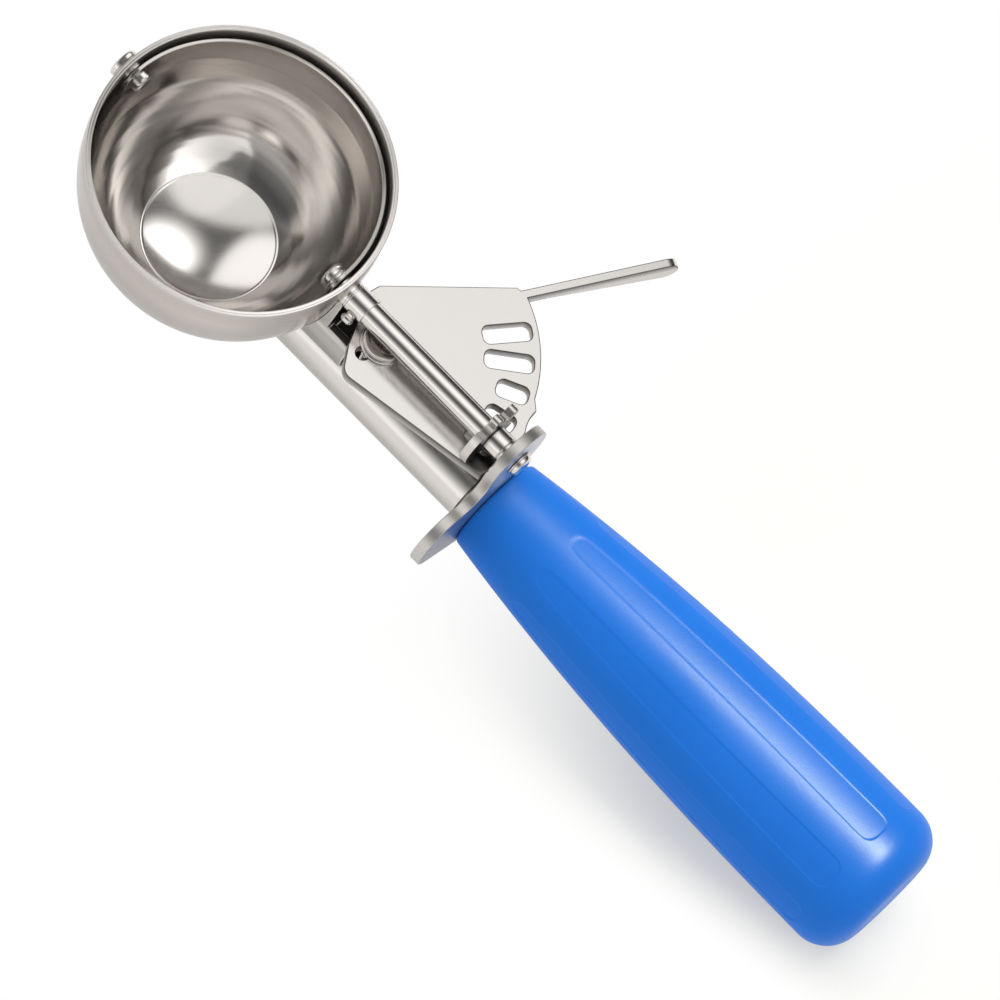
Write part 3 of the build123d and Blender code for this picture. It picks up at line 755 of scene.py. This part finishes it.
def makeFrontPivot():
    f = frontPivot
    turnOnShaft("pivotPin", "front_pivot_rivet", roundedOutline([
        (0, f["headStart"]), (f["headRadius"], f["headStart"], f["headCrown"]),
        *groove(f["headRadius"], f["groove"], f["grooveHalf"], f["grooveDepth"]),
        (f["headRadius"], f["headEnd"]), (f["pinRadius"], f["headEnd"]),
        (f["pinRadius"], f["pinEnd"], f["fineEdge"]), (0, f["pinEnd"])]))
    turnOnShaft("pivotSpacer", "front_pivot_spacer", ring([
        (f["pinRadius"], f["spacerStart"]), (f["spacerRadius"], f["spacerStart"], f["fineEdge"]),
        (f["spacerRadius"], f["spacerEnd"], f["spacerEdge"]), (f["pinRadius"], f["spacerEnd"])]))
    turnOnShaft("pivotButton", "front_pivot_button", roundedOutline([
        (0, f["buttonStart"]), (f["buttonRadius"], f["buttonStart"], f["buttonEdge"]),
        (f["buttonRadius"], f["buttonEnd"], f["buttonCrown"]), (0, f["buttonEnd"])]))


leverPivot = {"washerBottom": 24.429, "washerTop": 24.779, "washerRadius": 4.5, "washerEdge": 0.12,
              "headTop": 25.729, "headRadius": 4.2, "headEdge": 0.3, "seatEdge": 0.1, "headDish": 0.36,
              "dish": [(0.35, 0.84, 0.6), (0.65, 0.5, 0.6), (0.86, 0, 0.35)],  # out, down, rounding
              "pinRadius": 1.6, "pinBottom": 15.7, "bossRadius": 2.35, "bossBottom": 18.2, "bossTop": 21.989,
              "bossEdge": 0.2, "segments": 128, "bossSegments": 96}


def makeLeverPivot():
    p = leverPivot
    place, top, dish = (leverPlace, 0, 0), p["headTop"], p["headDish"]
    hollow = [(out * p["headRadius"], top - down * dish, rounding) for out, down, rounding in p["dish"]]
    rivet = turnPiece("leverRivet", roundedOutline([
        (0, top - dish), *hollow, (p["headRadius"], top, p["headEdge"]),
        (p["headRadius"], p["washerTop"], p["seatEdge"]), (p["pinRadius"], p["washerTop"]),
        (p["pinRadius"], p["pinBottom"]), (0, p["pinBottom"])]), rivetSteel, p["segments"], place)
    seat(rivet, "lever_pivot_rivet")
    washer = turnPiece("leverWasher", ring([
        (p["pinRadius"], p["washerTop"]), (p["washerRadius"], p["washerTop"], p["washerEdge"]),
        (p["washerRadius"], p["washerBottom"], p["washerEdge"]), (p["pinRadius"], p["washerBottom"])]),
        plateSteel, p["segments"], place)
    seat(washer, "lever_washer")
    boss = turnPiece("leverBoss", ring([
        (p["pinRadius"], p["bossTop"]), (p["bossRadius"], p["bossTop"], p["bossEdge"]),
        (p["bossRadius"], p["bossBottom"]), (p["pinRadius"], p["bossBottom"])]),
        shaftSteel, p["bossSegments"], place)
    seat(boss, "lever_boss")


makeShaft()
makeBush()
makeHub()
makeScrew()
makeRearStack()
makeFrontPivot()
makeLeverPivot()
print("shaft, bush, hub and pivots turned")


# Pressed and cut pieces: the frame's shape with its edges eased

flatWithin = 0.5  # degrees between faces that count as one
saddlePocket = {"above": 18, "behind": 30, "facing": 0.9}


def easedPiece(name, node, finishes, width, segments, angle, finishOf=None, easedFinish=0):
    mesh = cadNodes[node].data.copy()
    mesh.name = name
    mesh.materials.clear()
    for finish in finishes:
        mesh.materials.append(finish)
    shape = bmesh.new()
    shape.from_mesh(mesh)
    bmesh.ops.remove_doubles(shape, verts=shape.verts, dist=mergeWithin)
    bmesh.ops.dissolve_limit(shape, angle_limit=radians(flatWithin), verts=shape.verts, edges=shape.edges)
    for face in shape.faces:
        face.smooth = True
        face.material_index = finishOf(face) if finishOf else 0
    shape.to_mesh(mesh)
    shape.free()
    if mesh.attributes.get("custom_normal"):
        mesh.attributes.remove(mesh.attributes["custom_normal"])
    mesh.set_sharp_from_angle(angle=radians(angle))
    piece = addObject(name, mesh)
    ease = piece.modifiers.new("ease", "BEVEL")
    ease.width = width * mm
    ease.segments = segments
    ease.limit_method = "ANGLE"
    ease.angle_limit = radians(angle)
    ease.use_clamp_overlap = False
    ease.harden_normals = True
    ease.material = easedFinish
    ready = plainMesh(piece)
    piece.modifiers.remove(ease)
    piece.data = ready
    seat(piece, node)


def cutFaces(axis, limit):  # the second finish goes on the sheet's cut faces
    return lambda face: int(abs(face.normal[axis]) < limit)


# The saddle pocket's inner faces, which take the painted shade.
def pocketFaces(face):
    p, middle, normal = saddlePocket, face.calc_center_median(), face.normal
    inner = middle.z > p["above"] * mm and middle.x > p["behind"] * mm
    return int(inner and (abs(normal.x) > p["facing"] or normal.z > p["facing"] or normal.y * middle.y < 0))


easedShapes = {
    "thumbLever": {"node": "thumb_lever", "finishes": [plateSteel, cutSteel, paintedReflectionLineSteel], "width": 0.2,
                   "segments": 3, "angle": 32, "finishOf": cutFaces(2, 0.5), "easedFinish": 2},
    "gearedPinion": {"node": "pinion", "finishes": [paintedReflectionFaceSteel, edgeSteel], "width": 0.12,
                     "segments": 2, "angle": 30, "finishOf": cutFaces(0, 0.5), "easedFinish": 1},
    "guardPlate": {"node": "guard_plate", "finishes": [guardSteel, guardEdgeSteel], "width": 0.08,
                   "segments": 1, "angle": 40, "finishOf": cutFaces(0, 0.9)},
    "tubeCollar": {"node": "tube_collar", "finishes": [paintedShadeCollarSteel], "width": 0.15,
                   "segments": 2, "angle": 40},
    "scraperBand": {"node": "scraper_blade", "finishes": [bladeSteel], "width": 0.2,
                    "segments": 2, "angle": 50},
    "neckSaddle": {"node": "front_saddle", "finishes": [paintedShadeSaddleSteel, paintedShadePocketSteel, edgeSteel], "width": 0.25,
                   "segments": 3, "angle": 50, "finishOf": pocketFaces, "easedFinish": 2},
}
for pieceName, shape in easedShapes.items():
    easedPiece(pieceName, **shape)
print("pressed pieces eased")


# Return spring: one wire, coiled round the boss

springShape = {"bottom": 18.75, "coilRadius": 2.9, "turns": 2.5, "pitch": 1.0, "wire": 0.3, "legLength": 6.5,
               "hookReach": 4.6, "hookAngle": -104.0, "hookTop": 24.309, "bend": 0.5, "bendSteps": 6,
               "sides": 16, "stepsPerTurn": 40}


def makeWire(sizes):
    inputs = {"Path": "Geometry", "Material": "Material", **sizes}
    tree, given, out = newGroup("wire", "GeometryNodeTree", inputs, {"Geometry": "Geometry"})
    line = firstOut(tree, "GeometryNodeMeshToCurve", {0: given["Path"]})
    bends = {"Curve": line, "Radius": given["Bend"], "Limit Radius": True, "Count": springShape["bendSteps"]}
    bent = firstOut(tree, "GeometryNodeFilletCurve", bends, mode="POLY")
    circle = {"Resolution": given["Sides"], "Radius": given["Radius"]}
    section = firstOut(tree, "GeometryNodeCurvePrimitiveCircle", circle)
    wire = {"Curve": bent, "Profile Curve": section, "Fill Caps": True}
    return endTree(tree, firstOut(tree, "GeometryNodeCurveToMesh", wire), given["Material"], out)


def makeSpring():
    s = springShape
    steps, coil = s["stepsPerTurn"], s["coilRadius"]
    path = [Vector((-s["legLength"], coil, 0))]
    for step in range(int(s["turns"] * steps) + 1):
        angle = radians(90) + tau * step / steps
        path.append(Vector((coil * cos(angle), coil * sin(angle), s["pitch"] * step / steps)))
    hook = radians(s["hookAngle"])
    for height in (s["turns"] * s["pitch"], s["hookTop"] - s["bottom"]):
        path.append(Vector((s["hookReach"] * cos(hook), s["hookReach"] * sin(hook), height)))
    path = [point + Vector((leverPlace, 0, s["bottom"])) for point in path]
    mesh = newMesh("springPath", [point * mm for point in path], [(i, i + 1) for i in range(len(path) - 1)])
    sizes = {"Radius": s["wire"] * mm, "Bend": s["bend"] * mm, "Sides": s["sides"]}
    spring = growWith(addObject("returnSpring", mesh), makeWire(sizes), shaftSteel, sizes)
    faceOutward(spring.data)
    seat(spring, "return_spring")


makeSpring()
print("spring wound")


# The frame's own pieces take their finishes

nodeFinish = {"neck_tube": tubeSteel, "handle_tang": tubeSteel, "handle": handlePlastic}
for nodeName, node in cadNodes.items():
    node.data.materials.clear()
    node.data.materials.append(nodeFinish.get(nodeName, shaftSteel))
print("frame pieces dressed")


# Floor: as pale as its tone under the lamps, and white to the camera but for the grip's soft shadow

floorLook = {"height": -5.8, "size": 6.0, "tone": (0.93, 0.92, 0.905), "shadowTint": (1.0, 0.988, 0.905),
             "mirrored": 0.4, "shadowGlow": 0.48, "shadowFade": (64, 142), "shadowSide": (41.1, 55.6),
             "shadowSlant": 0.2, "shadowMiddle": (140, -30, -5.8), "shadowReach": (120, 230)}


def endGlow(tree, share, base, colour, strength):
    glow = addNode(tree, "ShaderNodeEmission", {"Color": colour, "Strength": strength})
    mix = addNode(tree, "ShaderNodeMixShader", {0: share, 1: base.outputs[0], 2: glow.outputs[0]})
    tree.links.new(mix.outputs[0], tree.nodes["Material Output"].inputs["Surface"])


def makeFloor():
    s = floorLook
    half = s["size"] / 2
    floor = addSheet("floor", -half, half, -half, half, s["height"] * mm)
    material, tree, shader = newMaterial("paleFloor")
    tree.nodes.remove(shader)
    op = partial(calc, tree)
    path = addNode(tree, "ShaderNodeLightPath").outputs
    place = addNode(tree, "ShaderNodeTexCoord").outputs["Object"]
    x, y, _ = splitVector(tree, place)
    spread = vectorCalc(tree, "DISTANCE", place, [side * mm for side in s["shadowMiddle"]])
    beside = op("SUBTRACT", op("MULTIPLY", x, s["shadowSlant"]), y)

    def within(value, edges):  # 1 before the first edge and 0 past the second
        return remap(tree, value, [edge * mm for edge in edges], (1.0, 0.0), "SMOOTHSTEP")

    shade = op("SUBTRACT", 1.0, within(x, s["shadowFade"]))
    for value, edges in ((beside, s["shadowSide"]), (spread, s["shadowReach"])):
        shade = op("MULTIPLY", shade, within(value, edges))
    fade = op("MULTIPLY_ADD", shade, s["shadowGlow"] - 1.0, 1.0)
    seen = op("MAXIMUM", op("MULTIPLY", path["Is Camera Ray"], fade),
              op("MULTIPLY", path["Is Glossy Ray"], s["mirrored"]))
    lit = addNode(tree, "ShaderNodeBsdfDiffuse", {"Color": (*s["tone"], 1)})
    endGlow(tree, seen, lit, blendColours(tree, shade, (1, 1, 1), s["shadowTint"]), 1.0)
    floor.data.materials.append(material)


# Sky: soft panels about the neck's axis, by angle from straight up, and plain ends

skyPanels = {"strips": [(-180, 0.7), (-104, 0.9), (-97, 1.5), (-80, 1.5), (-70, 0.9), (-56, 0.4), (-44, 0.1),
                        (-30, 0.06), (-16, 0.5), (-4, 1.45), (20, 1.5), (30, 1.0), (40, 0.45), (52, 0.15),
                        (64, 0.03), (84, 0.03), (96, 0.4), (110, 0.7), (180, 0.7)],  # angle, brightness
             "brightest": 2, "endTone": 0.6, "ends": (0.55, 0.95)}


def makeSky():
    s = skyPanels
    world = bpy.data.worlds.new("softPanels")
    scene.world = world
    world.use_nodes = True
    tree = world.node_tree
    x, y, z = splitVector(tree, addNode(tree, "ShaderNodeTexCoord").outputs["Generated"])
    around = calc(tree, "MULTIPLY_ADD", calc(tree, "ARCTAN2", y, z), 1 / tau, 0.5)
    ramp = addNode(tree, "ShaderNodeValToRGB", {0: around})
    ramp.color_ramp.interpolation = "B_SPLINE"
    stops = ramp.color_ramp.elements
    while len(stops) > 1:
        stops.remove(stops[-1])
    for place, (angle, value) in enumerate(s["strips"]):
        share = 0.5 + angle / 360
        stop = stops.new(share) if place else stops[0]
        stop.position = share
        stop.color = (*[value / s["brightest"]] * 3, 1)
    strip = calc(tree, "MULTIPLY", ramp.outputs[0], s["brightest"])
    endness = remap(tree, calc(tree, "ABSOLUTE", x), s["ends"], (0.0, 1.0), "SMOOTHSTEP")
    level = blendValues(tree, endness, strip, s["endTone"])
    seen = addNode(tree, "ShaderNodeLightPath").outputs["Is Camera Ray"]
    tree.links.new(blendValues(tree, seen, level, 1.0), tree.nodes["Background"].inputs["Strength"])
    tree.nodes["Background"].inputs["Color"].default_value = (1, 1, 1, 1)


# Lamps: a key from above, a long sheen on the grip and a weak glow in the bowl

keyLamp = {"place": (0.10, 0.45, 0.85), "aim": (0.09, 0, 0), "size": 0.6, "power": 5.5}
sheenLamp = {"aim": (0.12, 0, 0.01), "lean": 14.0, "shift": 0.147, "reach": 0.6, "length": 0.4, "width": 0.2,
             "power": 62.0, "colour": (1.0, 1.0, 0.6)}
glowLamp = {"place": (0.044, -0.022, 0.058), "length": 0.072, "width": 0.130, "turn": 38, "power": 0.0195}


def addLamp(name, shape, length, width, power, onlyOn=None):
    lamp = bpy.data.lights.new(name, "AREA")
    lamp.shape = shape
    lamp.size, lamp.size_y = length, width
    lamp.energy = power
    holder = addObject(name, lamp)
    if onlyOn:
        lit = bpy.data.collections.new(name + "Only")
        lit.objects.link(bpy.data.objects[onlyOn])
        holder.light_linking.receiver_collection = lit
    return holder


def makeKey():
    k = keyLamp
    key = addLamp("keyPanel", "SQUARE", k["size"], k["size"], k["power"])
    key.location = k["place"]
    key.rotation_euler = (Vector(k["aim"]) - key.location).to_track_quat("-Z", "Y").to_euler()
    key.visible_glossy = False


def makeSheen():
    s = sheenLamp
    sheen = addLamp("handleSheen", "RECTANGLE", s["length"], s["width"], s["power"], "flutedGrip")
    sheen.data.color = s["colour"]
    aim, lean = Vector(s["aim"]), radians(s["lean"])
    sheen.location = aim + Vector((s["shift"], sin(lean), cos(lean))) * s["reach"]
    away = (sheen.location - aim).normalized()
    side = (Vector((1, 0, 0)) - away * away.x).normalized()  # the lamp's length lies along the grip
    turn = Matrix((side, away.cross(side), away)).transposed().to_4x4()
    sheen.matrix_world = Matrix.Translation(sheen.location) @ turn
    sheen.visible_diffuse = False


def makeBowlGlow():
    g = glowLamp
    glow = addLamp("bowlGlow", "ELLIPSE", g["length"], g["width"], g["power"], "spunBowl")
    glow.location = g["place"]
    glow.rotation_euler = (0, 0, radians(g["turn"]))
    glow.visible_diffuse = False


# Bowl panel: bright and dark patches over the bowl, seen only in the steel

bowlPanel = {
    "height": 58.0, "left": -110.0, "right": 24.0, "near": -40.0, "far": 140.0, "base": 0.3,
    "patches": [
        {"middle": (-42, 60), "half": (56, 75), "turn": 0, "soft": 0.04, "level": 0.15, "corner": 6.0},
        {"middle": (-2, 6), "half": (24, 13), "turn": 38, "soft": 0.2, "level": 0.95, "corner": 3.0},
        {"middle": (-5.5, 57), "half": (12, 24), "turn": 2, "soft": 0.45, "level": 2.9, "corner": 2.0},
        {"middle": (-43, 48), "half": (14, 44), "turn": 27, "soft": 0.1, "level": 1.4, "corner": 3.0},
    ],
}


def patchMask(tree, flat, shape):
    moved = vectorCalc(tree, "SUBTRACT", flat, (*shape["middle"], 0))
    turned = firstOut(tree, "ShaderNodeVectorRotate", {"Vector": moved, "Angle": -radians(shape["turn"])},
                      rotation_type="Z_AXIS")
    scaled = vectorCalc(tree, "MULTIPLY", turned, (1 / shape["half"][0], 1 / shape["half"][1], 0))
    power, soft = shape["corner"], shape["soft"]
    sides = splitVector(tree, scaled)[:2]
    bend = [calc(tree, "POWER", calc(tree, "ABSOLUTE", side), power) for side in sides]
    reach = calc(tree, "POWER", calc(tree, "ADD", *bend), 1 / power)
    return remap(tree, reach, (1 - soft, 1 + soft), (1.0, 0.0), "SMOOTHSTEP")


def makeBowlPanel():
    c = bowlPanel
    panel = addSheet("bowlPanel", *(c[side] * mm for side in ("left", "right", "near", "far", "height")))
    material, tree, shader = newMaterial("bowlPanel")
    tree.nodes.remove(shader)
    place = addNode(tree, "ShaderNodeTexCoord").outputs["Object"]
    flat = vectorCalc(tree, "MULTIPLY", place, (1 / mm, 1 / mm, 0))
    level, cover = c["base"], 0.0
    for shape in c["patches"]:
        mask = patchMask(tree, flat, shape)
        level = blendValues(tree, mask, level, shape["level"])
        cover = calc(tree, "MAXIMUM", cover, mask)
    clear = addNode(tree, "ShaderNodeBsdfTransparent", {"Color": (1, 1, 1, 1)})
    endGlow(tree, cover, clear, (1, 1, 1, 1), level)
    panel.data.materials.append(material)
    panel.visible_camera = False
    panel.visible_diffuse = False
    panel.visible_shadow = False


cameraView = {"place": (0.248437, -0.644307, 1.362812), "turn": (22.8215, -13.4602, 44.1359), "lens": 297.871,
              "sensor": 36.0, "near": 0.05}


def makeCamera():
    view = cameraView
    lens = bpy.data.cameras.new("camera")
    lens.lens = view["lens"]
    lens.sensor_width = view["sensor"]
    lens.clip_start = view["near"]
    camera = addObject("camera", lens)
    camera.location = view["place"]
    camera.rotation_euler = [radians(a) for a in view["turn"]]
    scene.camera = camera


makeFloor()
makeSky()
makeKey()
makeSheen()
makeBowlPanel()
makeBowlGlow()
makeCamera()
scene.view_settings.view_transform = "Standard"
print("studio lit")
